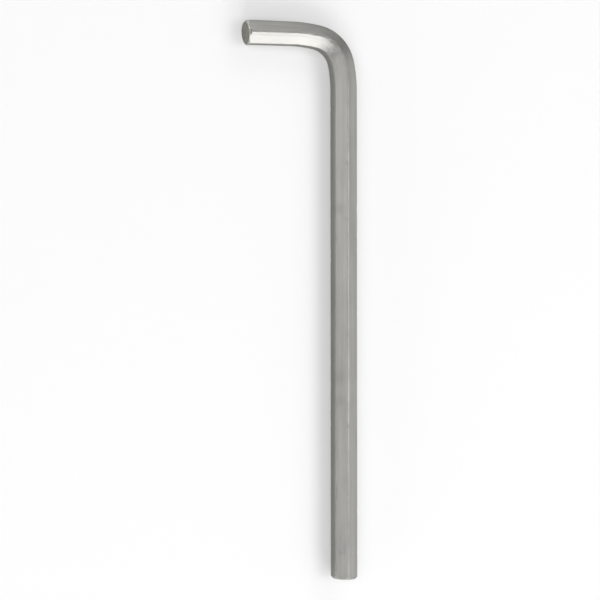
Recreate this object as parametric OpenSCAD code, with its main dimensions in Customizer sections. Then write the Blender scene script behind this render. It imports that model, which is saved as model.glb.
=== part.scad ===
/* [Section] */
// Width of the hexagon across its flats
across_flats = 10; // [4:0.5:17]
// Radius on the hexagon's six long edges
edge_radius = 0.8; // [0.2:0.1:1.5]

/* [Arms] */
// Long arm, from its end to the outside of the short arm
long_arm = 234; // [120:1:400]
// Short arm, from its end to the outside of the long arm
short_arm = 49; // [42:0.5:100]

/* [Bend] */
// Radius of the flat on the inside of the bend
inner_bend_radius = 12.5; // [5:0.5:24]

/* [Ends] */
// How far inside the flats each end's round face lies
chamfer_inset = 0.5; // [0.2:0.1:1.5]
// Slope of the chamfer, measured from the end face
chamfer_angle = 45; // [30:1:60]

/* [Hidden] */

$fn = 96;
satin_steel = [0.46, 0.455, 0.44];

flat_distance = across_flats / 2;
// From the bar's axis to the centre line of a rounded edge, and to its crest
edge_centre = (flat_distance - edge_radius) / cos(30);
crest_distance = edge_centre + edge_radius;
bend_axis_radius = inner_bend_radius + flat_distance;
// What is left of each arm outside the bend
long_straight = long_arm - flat_distance - bend_axis_radius;
short_straight = short_arm - flat_distance - bend_axis_radius;

end_face_radius = flat_distance - chamfer_inset;
// The chamfer cutter reaches this far past the crests and the end
cutter_margin = 1;
cutter_radius = crest_distance + cutter_margin;
cutter_depth = (cutter_radius - end_face_radius) * tan(chamfer_angle);

// Hexagon with two flats square to X, and an arc on each of its six corners
module section() {
    corners = [30:60:330];
    polygon([for (corner = corners) for (side = [-30, 30])
        edge_centre * [cos(corner), sin(corner)]
            + edge_radius * [cos(corner + side), sin(corner + side)]]);
    for (corner = corners)
        translate(edge_centre * [cos(corner), sin(corner)])
            circle(edge_radius);
}

// Straight stretch of bar from the origin along +Y
module straight(length) {
    rotate([-90, 0, 0])
        linear_extrude(length)
            section();
}

// Ring with a conical bore, which turns the chamfer on a bar that starts at the
// origin and runs along +Y
module chamfer_cutter() {
    rotate([-90, 0, 0])
        rotate_extrude()
            polygon([
                [end_face_radius, -cutter_margin],
                [cutter_radius, -cutter_margin],
                [cutter_radius, cutter_depth],
                [end_face_radius, 0]
            ]);
}

// Arm with its chamfered end at the origin, running along +Y
module arm(length) {
    difference() {
        straight(length);
        chamfer_cutter();
    }
}

// Quarter turn that starts at the origin along +Y and ends along -X
module bend() {
    translate([-bend_axis_radius, 0])
        rotate_extrude(angle = 90)
            translate([bend_axis_radius, 0])
                section();
}

// One bar bent into two arms, which both lie on a crest of the hexagon
module hex_key() {
    color(satin_steel)
        translate([short_arm / 2 - flat_distance, -long_arm / 2, crest_distance]) {
            arm(long_straight);
            translate([0, long_straight])
                bend();
            translate([flat_distance - short_arm, long_arm - flat_distance])
                rotate(-90)
                    arm(short_straight);
        }
}

hex_key();
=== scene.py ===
"""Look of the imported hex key: a bent hexagonal bar of satin drawn steel, lying on a pale floor."""

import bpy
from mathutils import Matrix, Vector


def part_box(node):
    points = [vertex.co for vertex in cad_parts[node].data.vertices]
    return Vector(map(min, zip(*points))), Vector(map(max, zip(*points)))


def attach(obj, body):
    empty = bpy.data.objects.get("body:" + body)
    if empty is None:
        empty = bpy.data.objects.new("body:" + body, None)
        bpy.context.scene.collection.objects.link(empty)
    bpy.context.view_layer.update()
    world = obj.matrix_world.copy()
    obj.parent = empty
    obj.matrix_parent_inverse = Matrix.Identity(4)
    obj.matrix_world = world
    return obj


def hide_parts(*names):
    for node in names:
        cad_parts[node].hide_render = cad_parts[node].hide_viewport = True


bl_info = {
    "name": "Hex key",
    "version": (1, 0, 0),
    "blender": (4, 5, 0),
    "location": "3D View > Sidebar > Hex key",
    "description": "Builds a bent hexagonal bar of satin steel over the packed part",
    "category": "Object",
}

import math

import bpy
import numpy as np
from bpy.props import FloatProperty, FloatVectorProperty, IntProperty, PointerProperty
from mathutils import Euler, Vector

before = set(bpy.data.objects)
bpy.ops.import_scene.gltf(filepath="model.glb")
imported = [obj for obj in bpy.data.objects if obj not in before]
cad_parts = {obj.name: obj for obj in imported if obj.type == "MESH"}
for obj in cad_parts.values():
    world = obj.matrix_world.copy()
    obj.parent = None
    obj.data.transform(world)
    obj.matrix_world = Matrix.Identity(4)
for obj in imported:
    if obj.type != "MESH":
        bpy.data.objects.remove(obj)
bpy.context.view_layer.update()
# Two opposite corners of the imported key's box
LOWEST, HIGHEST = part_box("hex_key")

MM = 0.001

# Steps round a corner of the section and across a flat, and the spacing of the rows along the bar in mm
CORNER_STEPS = 12
FLAT_STEPS = 11
ROW_SPACING = 0.6
# Steps along the bent stretch of the axis, and the length in mm over which its curvature changes
AXIS_STEPS = 1200
CURVATURE_RAMP = 3

# Rows on an end face, by their share of its radius
FACE_SHARES = (0, 0.25, 0.5, 0.75, 0.9)
# Steps across each rounded edge of a chamfer, and how far the rounding reaches to each side in mm
ROUNDING_STEPS = 4
ROUNDING_REACH = 0.14
# Rows of the grid from the middle of an end face to its rim, and on to the chamfer's outer edge
FACE_ROWS = len(FACE_SHARES) + 1
CHAMFER_ROWS = len(FACE_SHARES) + ROUNDING_STEPS + 1 + ROUNDING_STEPS // 2
# Rows on the rounded edge between a chamfer and the flats
ARRIS_ROWS = CHAMFER_ROWS + np.array([-1, 0, 1])
# Distance in mm from an end at which the section is full and square to the bar again
SETTLED = 3
# How far each end leans out of square, in mm of depth for a mm outwards and a mm up
LONG_END_LEAN = (-0.027, -0.031)
SHORT_END_LEAN = (-0.075, 0.05)
# Where the axis of each turned end lies in the section, in mm outwards and up
LONG_END_CENTRE = (0, 0)
SHORT_END_CENTRE = (-0.3, 0)
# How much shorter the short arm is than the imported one
SHORT_ARM_LOSS = 0.33 * MM

# Nicks in the long edges: seed of their places, and shortest and longest half length in mm
NICK_SEED = 7
NICK_HALF_LENGTHS = (0.4, 1.6)
# A nick is as deep as the square of a random share, which is at least this, of the deepest nick
NICK_LEAST_SHARE = 0.2
# Half width of a nick in degrees round the section
NICK_HALF_WIDTH = 4
# How much each of the six long edges is burnished and brightened by a painted highlight, from the lowest
# one anticlockwise, and its half width in degrees round the section
EDGE_BURNISH_AND_HIGHLIGHT = np.array([1, 0.4, 0.4, 1, 0.2, 0.4])
EDGE_BURNISH_AND_HIGHLIGHT_HALF_WIDTH = 5.5
# How much the thin edges round the chamfers are burnished and brightened by a painted highlight
ARRIS_BURNISH_AND_HIGHLIGHT = 4
# Dark marks on the long arm: place across it and along it from its end, half width and half length in mm,
# and strength
MARKS = np.array([
    (-3.3, 156, 1.8, 2.4, 0.9),
    (-1.2, 151.7, 0.5, 0.6, 1.0),
    (-3.5, 85, 1.9, 2.4, 0.9),
    (-3.2, 75.3, 1.4, 2.2, 0.8),
    (0, 64.8, 0.7, 0.7, 1.2),
    (-0.5, 175.3, 0.7, 0.8, 1.2),
    (-1.6, 13.5, 0.5, 2.2, 1.1),
    (-3, 11.6, 1.2, 0.8, 0.9),
])

# Patterns of the satin steel: size across and along the bar in mm, and the noise's detail and roughness.
# Drawn lines are a few hundredths of a millimetre wide; 0.35 mm is as fine as the picture shows.
GRAINS = {
    "fine_lines": (0.35, 22, 2, 0.6),
    "broad_lines": (1.5, 60, 2, 0.5),
    "cloud": (6, 14, 3, 0.55),
    "burnish_and_highlight_patches": (5, 6, 3, 0.6),
    "mottle": (1.1, 1.8, 3, 0.6),
}
# Share of the plain metal formula's reflection that satin steel keeps at 82 degrees
GRAZING_TINT = (0.58, 0.58, 0.58, 1)
# Settings that many Math nodes share
MULTIPLY = {"operation": "MULTIPLY"}
MULTIPLY_ADD = {"operation": "MULTIPLY_ADD"}

# Half the width of the floor, and how far the lamps stand from the middle of the key, in metres
FLOOR_HALF = 3
LAMP_DISTANCE = 3
# Lamps: azimuth from +X towards +Y and elevation in degrees, width and height in metres, and radiance
LAMPS = {
    "front_window": (275, 32, 2.6, 1.5, 3.9),
    "front_left_card": (242, 45, 1.5, 1.5, 0.88),
    "corner_window": (310, 32, 1.9, 1.5, 2.17),
    "right_window": (345, 32, 1.9, 1.5, 0.8),
    "back_card": (64, 32, 3.3, 1.5, 1.66),
    "left_back_lamp": (159, 54, 0.9, 1.5, 3.2),
    "left_lamp": (199, 54, 0.9, 1.5, 1.9),
    "high_right_lamp": (0, 58, 1.5, 1.5, 3.65),
    "overhead_card": (180, 80, 2.0, 2.4, 0.2),
    "low_right_card": (0, 11, 2.4, 1.0, 1.32),
    "low_left_card": (180, 14, 5.5, 1.4, 0.6),
    "low_front_left_card": (209, 9, 1.6, 0.85, 2.6),
    "low_back_left_card": (143, 9, 1.4, 0.85, 1.1),
}
# Where the camera looks, and its turns about X and Z beside its lean
CAMERA_TARGET = Vector((-0.01, 0.74, 5.65)) * MM
CAMERA_TILT = math.radians(-0.895)
CAMERA_TURN = math.radians(-0.075)


def linear(hex_colour):
    """Turns an sRGB hex colour into linear red, green and blue.

    A share up to 0.04045 is divided by 12.92. A larger one has 0.055 added, is divided by 1.055 and is
    raised to the power 2.4.
    """
    shares = np.array([int(hex_colour[i:i + 2], 16) for i in (0, 2, 4)]) / 255
    return tuple(np.where(shares <= 0.04045, shares / 12.92, ((shares + 0.055) / 1.055) ** 2.4))


class HexKeySizes(bpy.types.PropertyGroup):
    """Sizes of the bar, with lengths in metres and angles in radians."""

    long_arm: FloatProperty(
        name="Long arm", description="From its end to the outside of the short arm",
        default=HIGHEST.y - LOWEST.y, unit="LENGTH",
    )
    short_arm: FloatProperty(
        name="Short arm", description="From its end to the outside of the long arm",
        default=HIGHEST.x - LOWEST.x - SHORT_ARM_LOSS, unit="LENGTH",
    )
    across_flats: FloatProperty(
        name="Across flats", description="Width of the hexagon from flat to flat",
        default=10 * MM, unit="LENGTH",
    )
    edge_radius: FloatProperty(
        name="Edge radius", description="Radius on the six long edges",
        default=0.8 * MM, unit="LENGTH",
    )
    bend_radius: FloatProperty(
        name="Bend radius", description="Radius of the bar's axis in the middle of the bend",
        default=13.8 * MM, unit="LENGTH",
    )
    run_out_radius: FloatProperty(
        name="Run-out radius", description="Radius of the bar's axis where the bend runs out into an arm",
        default=60 * MM, unit="LENGTH",
    )
    run_out_angle: FloatProperty(
        name="Run-out angle", description="How much of the quarter turn each run-out takes",
        default=math.radians(11), unit="ROTATION",
    )
    drawn_in: FloatProperty(
        name="Drawn in", description="How far the outside of the bar is drawn in by the bending",
        default=0.29 * MM, unit="LENGTH",
    )
    drawn_in_place: FloatProperty(
        name="Drawn in place",
        description="Where it is drawn in most, from the middle of the bend to the short arm",
        default=8 * MM, unit="LENGTH",
    )
    drawn_in_reach: FloatProperty(
        name="Drawn in reach", description="How far from there the drawing in reaches",
        default=17 * MM, unit="LENGTH",
    )
    long_end_radius: FloatProperty(
        name="Long end radius", description="Radius of the round face at the long arm's end",
        default=4.7 * MM, unit="LENGTH",
    )
    short_end_radius: FloatProperty(
        name="Short end radius", description="Radius of the round face at the short arm's end",
        default=4.65 * MM, unit="LENGTH",
    )
    nicks: IntProperty(
        name="Nicks", description="Number of small nicks in the long edges", default=90, min=0,
    )
    nick_depth: FloatProperty(
        name="Nick depth", description="Depth of the deepest nick", default=0.12 * MM, unit="LENGTH",
    )
    chamfer_angle: FloatProperty(
        name="Chamfer angle", description="Slope of the chamfer, measured from the end face",
        default=math.radians(45), unit="ROTATION",
    )


class HexKeyFinish(bpy.types.PropertyGroup):
    """Colours and gloss of the steel."""

    steel: FloatVectorProperty(
        name="Steel", description="Colour of the satin flats",
        default=linear("9B9A97"), subtype="COLOR", min=0, max=1,
    )
    steel_roughness: FloatProperty(
        name="Steel roughness", description="How much the satin flats blur what they mirror",
        default=0.38, min=0, max=1, subtype="FACTOR",
    )
    turned_steel: FloatVectorProperty(
        name="Turned steel", description="Colour of the chamfers",
        default=linear("B8B7B3"), subtype="COLOR", min=0, max=1,
    )
    turned_roughness: FloatProperty(
        name="Turned roughness", description="How much the chamfers blur what they mirror",
        default=0.26, min=0, max=1, subtype="FACTOR",
    )
    end_steel: FloatVectorProperty(
        name="End steel", description="Colour of the cropped end faces",
        default=linear("95938C"), subtype="COLOR", min=0, max=1,
    )
    end_roughness: FloatProperty(
        name="End roughness", description="How much the cropped faces blur what they mirror",
        default=0.5, min=0, max=1, subtype="FACTOR",
    )


class HexKeyStage(bpy.types.PropertyGroup):
    """Floor, light and camera."""

    floor: FloatVectorProperty(
        name="Floor", description="Colour of the floor",
        default=linear("F6F6F6"), subtype="COLOR", min=0, max=1,
    )
    plain_share: FloatProperty(
        name="Plain share", description="Share of the floor that shows its colour in any light",
        default=0.3, min=0, max=1, subtype="FACTOR",
    )
    room_light: FloatProperty(
        name="Room light", description="Brightness of the pale room all round, where 1 is white",
        default=0.035, min=0, max=1, subtype="FACTOR",
    )
    lens: FloatProperty(
        name="Lens", description="Focal length of the camera", default=147, unit="CAMERA",
    )
    camera_distance: FloatProperty(
        name="Camera distance", description="From the lens to the middle of the bar",
        default=1.026, unit="LENGTH",
    )
    camera_lean: FloatProperty(
        name="Camera lean",
        description="How far the camera leans to the short arm's side from straight above",
        default=math.radians(18.89), unit="ROTATION",
    )


def hexagon_outline(flat, radius):
    """Outline of the bar's section in mm, anticlockwise from the middle of its lowest corner.

    Each corner is an arc of 60 degrees round a centre that lies one radius inside both of its flats. Each
    flat is a straight line from one arc to the next, and its points crowd towards the arcs.
    """
    corner = np.radians(-90 + 60 * np.arange(6))[:, None]
    turn = corner + np.radians(np.linspace(-30, 30, CORNER_STEPS + 1))
    centre = (flat - radius) / math.cos(math.radians(30))
    arcs = np.stack([
        centre * np.cos(corner) + radius * np.cos(turn),
        centre * np.sin(corner) + radius * np.sin(turn),
    ], axis=-1)
    share = (0.5 - 0.5 * np.cos(np.linspace(0, math.pi, FLAT_STEPS + 1)))[1:-1, None]
    start = arcs[:, -1:]
    flats = start + share * (np.roll(arcs[:, :1], -1, axis=0) - start)
    outline = np.concatenate([arcs, flats], axis=1).reshape(-1, 2)
    return np.roll(outline, -(CORNER_STEPS // 2), axis=0)


def bar_axis(sizes):
    """Axis of the bar in mm, from the long arm's end to the short arm's: distance, x, y and heading.

    The curvature is nought along the arms, one over the run-out radius in the run-outs and one over the
    bend radius between them, and ramps from each to the next over a few millimetres. The heading is the
    running sum of the curvature, and the place is the running sum of short steps along the heading.
    """
    run_out = sizes.run_out_radius / MM * sizes.run_out_angle
    middle = sizes.bend_radius / MM * (math.pi / 2 - 2 * sizes.run_out_angle)
    joints = np.repeat([0, run_out, run_out + middle, 2 * run_out + middle], 2)
    joints += np.tile([-CURVATURE_RAMP / 2, CURVATURE_RAMP / 2], 4)
    slight, sharp = MM / sizes.run_out_radius, MM / sizes.bend_radius
    along = np.linspace(joints[0], joints[-1], AXIS_STEPS)
    curvature = np.interp(along, joints, [0, slight, slight, sharp, sharp, slight, slight, 0])

    step = along[1] - along[0]
    heading = np.concatenate([[0], np.cumsum((curvature[1:] + curvature[:-1]) / 2 * step)])
    heading *= math.pi / 2 / heading[-1]
    middle_heading = (heading[1:] + heading[:-1]) / 2
    x = np.concatenate([[0], np.cumsum(-np.sin(middle_heading) * step)])
    y = np.concatenate([[0], np.cumsum(np.cos(middle_heading) * step)])

    flat = sizes.across_flats / MM / 2
    long_straight = sizes.long_arm / MM - flat - y[-1]
    short_straight = sizes.short_arm / MM - flat + x[-1]
    axis_x = HIGHEST.x / MM - flat
    start_y = LOWEST.y / MM
    along = along - along[0] + long_straight
    return (
        np.concatenate([[0], along, [along[-1] + short_straight]]),
        axis_x + np.concatenate([[0], x, [x[-1] - short_straight]]),
        start_y + np.concatenate([[0], long_straight + y, [long_straight + y[-1]]]),
        np.concatenate([[0], heading, [math.pi / 2]]),
    )


def rounded(before, corner, after):
    """Rows that round off a corner: the quadratic curve from before to after that heads for corner."""
    share = np.linspace(0, 1, ROUNDING_STEPS + 1)[:, None]
    return (1 - share) ** 2 * before + 2 * share * (1 - share) * corner + share ** 2 * after


def end_rows(outline, face, centre, chamfer_angle, lean):
    """Rows of one end, from the middle of its face out to the full section: points and depth, in mm.

    A row is a radius from the face's centre and a depth for every point of the outline. The face has
    depth nought up to its radius, the chamfer is the cone that starts there and ends where it meets the
    flats, and both of its edges are rounded. The lean adds depth in proportion to the place in the
    section, but not to the last row, which is square to the bar.
    """
    soft = ROUNDING_REACH
    in_radius = math.cos(chamfer_angle)
    in_depth = math.sin(chamfer_angle)
    offset = outline - centre
    reach = np.hypot(offset[:, 0], offset[:, 1])
    edge = (reach - face) * math.tan(chamfer_angle)
    rim = np.full_like(reach, face)
    flush = np.zeros_like(reach)
    inner = [face * share + flush for share in FACE_SHARES]
    radius = np.concatenate([
        inner,
        rounded(rim - soft, rim, rim + soft * in_radius),
        rounded(reach - soft * in_radius, reach, reach),
        [reach],
    ])
    depth = np.concatenate([
        np.zeros((len(inner), len(reach))),
        rounded(flush, flush, flush + soft * in_depth),
        rounded(edge - soft * in_depth, edge, edge + soft),
        [flush + SETTLED],
    ])
    across = centre + offset * (radius / reach)[..., None]
    leant = across[:-1] @ np.array(lean)
    depth[:-1] += leant - leant[len(inner)].min()
    return across, depth


def edge_nearness(outline):
    """Nearest of the six long edges to each point of the section, and the angle from it in degrees."""
    bearing = np.degrees(np.arctan2(outline[:, 1], outline[:, 0])) + 90
    nearest = np.round(bearing / 60).astype(int)
    return nearest % 6, bearing - 60 * nearest


def worn_depth(outline, stations, sizes):
    """How deep each point of the straight rows is worn, in mm, a row for each station.

    Each of the six edges has small nicks at random places. A nick is a bell curve along the bar and
    another across the edge, so it flattens the edge for a millimetre or two and leaves the flats alone.
    """
    random = np.random.default_rng(NICK_SEED)
    count = sizes.nicks
    edge = random.integers(0, 6, count)
    place = random.uniform(stations[0], stations[-1], count)
    half_length = random.uniform(*NICK_HALF_LENGTHS, count)
    depth = random.uniform(NICK_LEAST_SHARE, 1, count) ** 2 * sizes.nick_depth / MM
    along = depth * np.exp(-((stations[:, None] - place) / half_length) ** 2)
    by_edge = along @ (edge[:, None] == np.arange(6))
    nearest, angle = edge_nearness(outline)
    return by_edge[:, nearest] * np.exp(-(angle / NICK_HALF_WIDTH) ** 2)


def handling_marks(across, along):
    """How dark the marks on the upper side of the long arm are at each point: a sum of bell curves."""
    offset_across = (across[..., :1] - MARKS[:, 0]) / MARKS[:, 2]
    offset_along = (along[..., None] - MARKS[:, 1]) / MARKS[:, 3]
    dark = np.exp(-offset_across ** 2 - offset_along ** 2) @ MARKS[:, 4]
    return np.where(across[..., 1] > 0, dark, 0)


def bar_surface(sizes):
    """Grid of the whole bar in mm: section points and distance along the axis, one row after another."""
    outline = hexagon_outline(sizes.across_flats / MM / 2, sizes.edge_radius / MM)
    length = bar_axis(sizes)[0][-1]
    chamfer = sizes.chamfer_angle
    long_across, long_depth = end_rows(
        outline, sizes.long_end_radius / MM, LONG_END_CENTRE, chamfer, LONG_END_LEAN,
    )
    short_across, short_depth = end_rows(
        outline, sizes.short_end_radius / MM, SHORT_END_CENTRE, chamfer, SHORT_END_LEAN,
    )
    rows = round((length - 2 * SETTLED) / ROW_SPACING)
    stations = np.linspace(SETTLED, length - SETTLED, rows)[1:-1]
    reach = np.hypot(outline[:, 0], outline[:, 1])
    across = np.concatenate([
        long_across,
        outline * (1 - worn_depth(outline, stations, sizes) / reach)[..., None],
        short_across[::-1],
    ])
    along = np.concatenate([
        long_depth,
        np.broadcast_to(stations[:, None], (len(stations), len(outline))),
        length - short_depth[::-1],
    ])
    return across, along


def bend_bar(across, along, sizes):
    """Carries the grid along the bar's axis: a point is the axis at its distance, plus its section place.

    The first section coordinate points to the outside of the bend and the second up. Outside the axis,
    the section is drawn in by the square of the first coordinate, and along the bar by a bell curve.
    """
    distance, x, y, heading = bar_axis(sizes)
    turn = np.interp(along, distance, heading)
    flat = sizes.across_flats / MM / 2
    outward = across[..., 0]
    most = np.interp(math.pi / 4, heading, distance) + sizes.drawn_in_place / MM
    bell = np.exp(-((along - most) * MM / sizes.drawn_in_reach) ** 2)
    drawn_in = sizes.drawn_in / MM * bell * (np.maximum(outward, 0) / flat) ** 2
    outward = outward - drawn_in
    return np.stack([
        np.interp(along, distance, x) + outward * np.cos(turn),
        np.interp(along, distance, y) + outward * np.sin(turn),
        across[..., 1] + HIGHEST.z / MM / 2,
    ], axis=-1)


def grid_faces(rows, points):
    """Faces of a closed tube of rows: its quads, and the fan of triangles that closes each end."""
    ring = np.arange(points)
    following = np.roll(ring, -1)
    # Vertex 0 and the last vertex are the poles; the rings lie between them
    base = 1 + points * np.arange(rows - 3)[:, None]
    beyond = base + points
    quads = np.stack([base + ring, base + following, beyond + following, beyond + ring], axis=-1)
    last = 1 + points * (rows - 2)
    last_ring = last - points
    start_fan = np.stack([np.zeros_like(ring), 1 + following, 1 + ring], axis=-1)
    end_fan = np.stack([np.full_like(ring, last), last_ring + ring, last_ring + following], axis=-1)
    return quads.reshape(-1, 4), start_fan, end_fan


def bar_mesh(sizes):
    """Mesh of the bar in metres, with four attributes.

    straight_bar is a point's place in the straight bar before the bend, in mm. bent is the sine of twice
    the heading, so it is nought along the arms and 1 in the middle of the bend. The third attribute is
    how much a point is burnished and brightened by a painted highlight: it peaks on the six long edges of
    the arms and falls to nought beside them, as a bell curve, and it is high on the thin edges round the
    chamfers. marks is how dark the handling marks are.
    """
    across, along = bar_surface(sizes)
    rows, points = along.shape
    place = bend_bar(across, along, sizes)
    straight = np.concatenate([across, along[..., None]], axis=-1)
    nearest, angle = edge_nearness(across[rows // 2])
    distance, _, _, heading = bar_axis(sizes)
    bent = np.sin(2 * np.interp(along, distance, heading))
    # Burnish and a painted highlight on the six long edges, fading out round the bend
    edge_burnish_and_highlight = (1 - bent) * EDGE_BURNISH_AND_HIGHLIGHT[nearest] * np.exp(-(angle / EDGE_BURNISH_AND_HIGHLIGHT_HALF_WIDTH) ** 2)
    # The thin edges round the chamfers get burnish and a painted highlight
    edge_burnish_and_highlight[[*ARRIS_ROWS, *(rows - 1 - ARRIS_ROWS)]] = ARRIS_BURNISH_AND_HIGHLIGHT

    def with_poles(grid):
        """Points of a grid row by row, where its first and its last row are one point each."""
        return np.concatenate([grid[:1, 0], grid[1:-1].reshape(-1, grid.shape[-1]), grid[-1:, 0]])

    quads, start_fan, end_fan = grid_faces(rows, points)
    mesh = bpy.data.meshes.new("hex_key_bar")
    faces = [*start_fan.tolist(), *quads.tolist(), *end_fan.tolist()]
    mesh.from_pydata(with_poles(place * MM), [], faces)
    attribute = mesh.attributes.new("straight_bar", "FLOAT_VECTOR", "POINT")
    attribute.data.foreach_set("vector", with_poles(straight).astype(np.float32).ravel())
    grids = {"bent": bent, "edge_burnish_and_highlight": edge_burnish_and_highlight, "marks": handling_marks(across, along)}
    for name, grid in grids.items():
        attribute = mesh.attributes.new(name, "FLOAT", "POINT")
        attribute.data.foreach_set("value", with_poles(grid[..., None]).astype(np.float32).ravel())

    # At each end the face wears the third material and the chamfer the second
    cropped, turned = points * FACE_ROWS, points * CHAMFER_ROWS
    slots = np.full(len(faces), 2, dtype=np.int32)
    slots[cropped:-cropped] = 1
    slots[turned:-turned] = 0
    mesh.polygons.foreach_set("material_index", slots)
    mesh.polygons.foreach_set("use_smooth", np.ones(len(faces), dtype=bool))
    mesh.update()
    return mesh


def add(tree, kind, settings=None, **inputs):
    """Adds one node to a tree, with its settings and links.

    settings are the node's own options. inputs are values, or sockets to link, by the input's name or, as
    in0, in1 and in2, by its number.
    """
    node = tree.nodes.new(kind)
    for option, value in (settings or {}).items():
        setattr(node, option, value)
    for name, value in inputs.items():
        numbered = name[:2] == "in" and name[2:].isdigit()
        socket = node.inputs[int(name[2:]) if numbered else name]
        if isinstance(value, bpy.types.NodeSocket):
            tree.links.new(value, socket)
        else:
            socket.default_value = value
    return node


def new_material(name):
    """An empty node material, and its node tree."""
    material = bpy.data.materials.new(name)
    material.use_nodes = True
    material.node_tree.nodes.clear()
    return material, material.node_tree


def finish_steel(tree, colour, shade, roughness, height, strength, distance):
    """Shades a steel: its colour times the shade, and bumps that follow the height.

    The bumps rise by distance in mm where the height rises by 1, and strength is how much of them shows.
    """
    shaded = add(
        tree, "ShaderNodeVectorMath", {"operation": "SCALE"}, in0=tuple(colour), Scale=shade,
    ).outputs[0]
    bump = add(
        tree, "ShaderNodeBump", Height=height, Strength=strength, Distance=distance * MM,
    ).outputs[0]
    # Steel mirrors about as much at a grazing angle as straight on, up to the last few degrees
    shader = add(
        tree, "ShaderNodeBsdfPrincipled", Metallic=1, Roughness=roughness, Normal=bump,
        **{"Base Color": shaded, "Specular Tint": GRAZING_TINT},
    )
    add(tree, "ShaderNodeOutputMaterial", Surface=shader.outputs[0])


def satin_drawn_steel(finish):
    """Satin drawn steel."""
    # Cold drawn alloy steel with a satin nickel coat. Drawing through the die leaves fine lines along the
    # bar, and the coat gives a soft, slightly warm grey gloss with cloudy patches where hands dulled it.
    material, tree = new_material("satin_drawn_steel")
    bar = add(tree, "ShaderNodeAttribute", {"attribute_name": "straight_bar"}).outputs["Vector"]
    grain = {}
    for name, (across, along, detail, roughness) in GRAINS.items():
        size = (1 / across, 1 / across, 1 / along)
        place = add(tree, "ShaderNodeMapping", Vector=bar, Scale=size).outputs[0]
        grain[name] = add(
            tree, "ShaderNodeTexNoise", Vector=place, Scale=1, Detail=detail, Roughness=roughness,
        ).outputs[0]

    # How much the fine lines and the cloud count beside the broad lines
    fine_share, cloud_share = 0.5, 0.7
    fine, broad, cloud = grain["fine_lines"], grain["broad_lines"], grain["cloud"]
    lines = add(tree, "ShaderNodeMath", MULTIPLY_ADD, in0=fine, in1=fine_share, in2=broad).outputs[0]
    tone = add(tree, "ShaderNodeMath", MULTIPLY_ADD, in0=cloud, in1=cloud_share, in2=lines).outputs[0]
    tone_range = {"From Min": 0.75, "From Max": 1.45}
    shade = add(
        tree, "ShaderNodeMapRange", Value=tone, **tone_range, **{"To Min": 0.87, "To Max": 1.1},
    ).outputs[0]

    # Handling leaves dull marks on the flats; the long edges get a brighter patchy burnish and a painted
    # highlight
    darkening, burnish_and_highlight_gain = -0.28, 0.16
    marks = add(tree, "ShaderNodeAttribute", {"attribute_name": "marks"}).outputs["Fac"]
    ragged = add(tree, "ShaderNodeMath", MULTIPLY, in0=marks, in1=cloud).outputs[0]
    shade = add(tree, "ShaderNodeMath", MULTIPLY_ADD, in0=ragged, in1=darkening, in2=shade).outputs[0]
    patches = add(
        tree, "ShaderNodeMapRange", Value=grain["burnish_and_highlight_patches"], **{"From Min": 0.38, "From Max": 0.64},
    ).outputs[0]
    edge = add(tree, "ShaderNodeAttribute", {"attribute_name": "edge_burnish_and_highlight"}).outputs["Fac"]
    burnish_and_highlight = add(tree, "ShaderNodeMath", MULTIPLY, in0=edge, in1=patches).outputs[0]
    shade = add(tree, "ShaderNodeMath", MULTIPLY_ADD, in0=burnish_and_highlight, in1=burnish_and_highlight_gain, in2=shade).outputs[0]

    # Bending stretches the steel and roughens it into a fine mottle, which runs from -1 to 1
    mottle_shade, mottle_height = 0.35, 25
    bent = add(tree, "ShaderNodeAttribute", {"attribute_name": "bent"}).outputs["Fac"]
    mottle = add(tree, "ShaderNodeMath", MULTIPLY_ADD, in0=grain["mottle"], in1=2, in2=-1).outputs[0]
    mottle = add(tree, "ShaderNodeMath", MULTIPLY, in0=mottle, in1=bent).outputs[0]
    shade = add(tree, "ShaderNodeMath", MULTIPLY_ADD, in0=mottle, in1=mottle_shade, in2=shade).outputs[0]
    height = add(
        tree, "ShaderNodeMath", MULTIPLY_ADD, in0=mottle, in1=mottle_height, in2=lines,
    ).outputs[0]

    variation = 0.02
    ends = {"To Min": finish.steel_roughness + variation, "To Max": finish.steel_roughness - variation}
    roughness = add(tree, "ShaderNodeMapRange", Value=tone, **tone_range, **ends).outputs[0]
    finish_steel(tree, finish.steel, shade, roughness, height, strength=0.08, distance=0.02)
    return material


def turned_rings(tree, place, spacing):
    """Rings that a lathe tool leaves: noise that changes with place only, about every spacing in mm."""
    ring_place = add(tree, "ShaderNodeMath", {"operation": "DIVIDE"}, in0=place, in1=spacing).outputs[0]
    return add(
        tree, "ShaderNodeTexNoise", {"noise_dimensions": "1D"}, W=ring_place, Scale=1, Detail=2,
    ).outputs[0]


def turned_steel(finish):
    """Turned steel."""
    # The chamfers are turned after coating, so they show bare steel: brighter, with fine rings round them
    material, tree = new_material("turned_steel")
    bar = add(tree, "ShaderNodeAttribute", {"attribute_name": "straight_bar"}).outputs["Vector"]
    depth = add(tree, "ShaderNodeSeparateXYZ", Vector=bar).outputs["Z"]
    # The rings are a few hundredths of a millimetre apart; 0.15 mm is as fine as the chamfer can show
    rings = turned_rings(tree, depth, spacing=0.15)
    # Marks are about a millimetre across
    marks = add(tree, "ShaderNodeTexNoise", Vector=bar, Scale=1.1, Detail=3).outputs[0]
    span = {"From Min": 0.35, "From Max": 0.6, "To Min": 0.9, "To Max": 1.05}
    shade = add(tree, "ShaderNodeMapRange", Value=marks, **span).outputs[0]
    finish_steel(
        tree, finish.turned_steel, shade, finish.turned_roughness, rings, strength=0.3, distance=0.02,
    )
    return material


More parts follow.
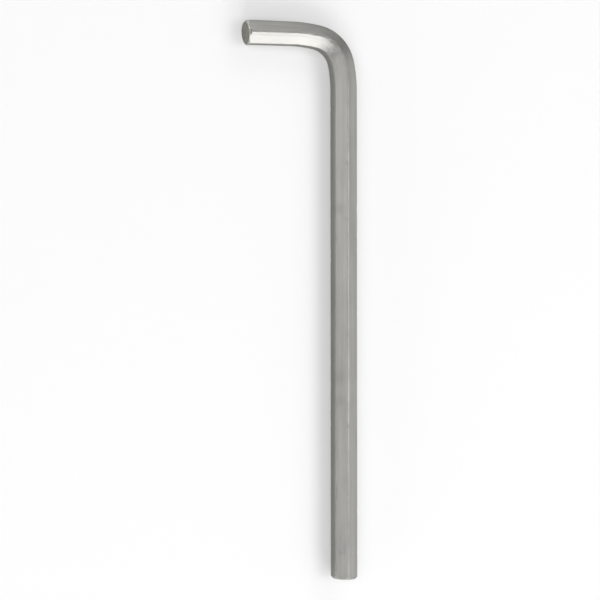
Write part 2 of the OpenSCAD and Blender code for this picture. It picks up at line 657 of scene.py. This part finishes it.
def cropped_steel(finish):
    """Cropped steel."""
    # The bar is cropped and its ends are faced, which leaves a duller, darker grey with faint rings
    material, tree = new_material("cropped_steel")
    bar = add(tree, "ShaderNodeAttribute", {"attribute_name": "straight_bar"}).outputs["Vector"]
    flat_place = add(tree, "ShaderNodeMapping", Vector=bar, Scale=(1, 1, 0)).outputs[0]
    radius = add(tree, "ShaderNodeVectorMath", {"operation": "LENGTH"}, in0=flat_place).outputs["Value"]
    # The rings are about 0.1 mm apart; 0.3 mm is as fine as the picture shows
    rings = turned_rings(tree, radius, spacing=0.3)
    # Stains are about a millimetre and a half across
    stains = add(tree, "ShaderNodeTexNoise", Vector=bar, Scale=0.7, Detail=3).outputs[0]
    span = {"From Min": 0.3, "From Max": 0.7, "To Min": 0.72, "To Max": 1.12}
    shade = add(tree, "ShaderNodeMapRange", Value=stains, **span).outputs[0]
    finish_steel(tree, finish.end_steel, shade, finish.end_roughness, rings, strength=0.4, distance=0.04)
    return material


def matt_card(stage):
    """White card."""
    # A sheet of matt white card: pale, even and without gloss. It takes the shadow, and a share of it
    # shows its plain colour to the camera and to what mirrors or passes its light.
    material, tree = new_material("matt_card")
    card = add(tree, "ShaderNodeBsdfDiffuse", Color=(*stage.floor, 1)).outputs[0]
    white = add(tree, "ShaderNodeEmission", Color=(*stage.floor, 1), Strength=1).outputs[0]
    rays = add(tree, "ShaderNodeLightPath").outputs
    seen = rays["Is Camera Ray"]
    for ray in ("Is Glossy Ray", "Is Transmission Ray"):
        seen = add(tree, "ShaderNodeMath", {"operation": "ADD"}, in0=seen, in1=rays[ray]).outputs[0]
    share = add(tree, "ShaderNodeMath", MULTIPLY, in0=seen, in1=stage.plain_share).outputs[0]
    shader = add(tree, "ShaderNodeMixShader", in0=share, in1=card, in2=white)
    add(tree, "ShaderNodeOutputMaterial", Surface=shader.outputs[0])
    return material


class HEXKEY_OT_bar(bpy.types.Operator):
    """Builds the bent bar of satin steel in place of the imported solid"""

    bl_idname = "object.hex_key_bar"
    bl_label = "Hex key bar"

    def execute(self, context):
        scene = context.scene
        bar = bpy.data.objects.new("hex_key_bar", bar_mesh(scene.hex_key_sizes))
        scene.collection.objects.link(bar)
        for steel in (satin_drawn_steel, turned_steel, cropped_steel):
            bar.data.materials.append(steel(scene.hex_key_finish))
        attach(bar, "root")
        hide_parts("hex_key")
        return {"FINISHED"}


def soft_lamp(name, azimuth, elevation, width, height, radiance):
    """Area lamp that faces the middle of the key from an azimuth and elevation, with two sides level.

    Its radiance is what a mirror would show of it, where 1 is white: power over pi times its area.
    """
    data = bpy.data.lights.new(name, "AREA")
    data.shape = "RECTANGLE"
    data.size, data.size_y = width, height
    data.energy = radiance * math.pi * width * height
    lamp = bpy.data.objects.new(name, data)
    turn = Euler((math.radians(90 - elevation), 0, math.radians(azimuth + 90)))
    lamp.rotation_euler = turn
    lamp.location = turn.to_matrix() @ Vector((0, 0, LAMP_DISTANCE))
    bpy.context.scene.collection.objects.link(lamp)


class HEXKEY_OT_stage(bpy.types.Operator):
    """Lays the floor, lights it softly and sets the camera above the key"""

    bl_idname = "scene.hex_key_stage"
    bl_label = "Hex key stage"

    def execute(self, context):
        scene = context.scene
        stage = scene.hex_key_stage
        floor_mesh = bpy.data.meshes.new("floor")
        corners = [(x * FLOOR_HALF, y * FLOOR_HALF, 0) for x, y in ((-1, -1), (1, -1), (1, 1), (-1, 1))]
        floor_mesh.from_pydata(corners, [], [(0, 1, 2, 3)])
        floor_mesh.materials.append(matt_card(stage))
        floor = bpy.data.objects.new("floor", floor_mesh)
        scene.collection.objects.link(floor)

        room = bpy.data.worlds.new("pale_room")
        room.use_nodes = True
        background = room.node_tree.nodes["Background"].inputs
        background["Color"].default_value = (1, 1, 1, 1)
        background["Strength"].default_value = stage.room_light
        scene.world = room
        for name, lamp in LAMPS.items():
            soft_lamp(name, *lamp)

        camera = bpy.data.objects.new("camera", bpy.data.cameras.new("camera"))
        camera.data.lens = stage.lens
        turn = Euler((CAMERA_TILT, -stage.camera_lean, CAMERA_TURN))
        camera.rotation_euler = turn
        camera.location = CAMERA_TARGET + turn.to_matrix() @ Vector((0, 0, stage.camera_distance))
        scene.collection.objects.link(camera)
        scene.camera = camera
        scene.view_settings.view_transform = "Standard"
        return {"FINISHED"}


class HEXKEY_PT_panel(bpy.types.Panel):
    """Sidebar panel of the hex key"""

    bl_idname = "HEXKEY_PT_panel"
    bl_label = "Hex key"
    bl_space_type = "VIEW_3D"
    bl_region_type = "UI"
    bl_category = "Hex key"

    def draw(self, context):
        for group in GROUPS:
            settings = getattr(context.scene, group)
            box = self.layout.box()
            for name in settings.__annotations__:
                box.prop(settings, name)
        self.layout.operator(HEXKEY_OT_bar.bl_idname)
        self.layout.operator(HEXKEY_OT_stage.bl_idname)


GROUPS = {"hex_key_sizes": HexKeySizes, "hex_key_finish": HexKeyFinish, "hex_key_stage": HexKeyStage}
CLASSES = (*GROUPS.values(), HEXKEY_OT_bar, HEXKEY_OT_stage, HEXKEY_PT_panel)


def register():
    """Registers the classes and gives each scene a property for each group."""
    for cls in CLASSES:
        bpy.utils.register_class(cls)
    for name, group in GROUPS.items():
        setattr(bpy.types.Scene, name, PointerProperty(type=group))


def unregister():
    """Takes the properties and the classes away again."""
    for name in GROUPS:
        delattr(bpy.types.Scene, name)
    for cls in reversed(CLASSES):
        bpy.utils.unregister_class(cls)


def main():
    register()
    bpy.ops.object.hex_key_bar()
    bpy.ops.scene.hex_key_stage()


if __name__ == "__main__":
    main()
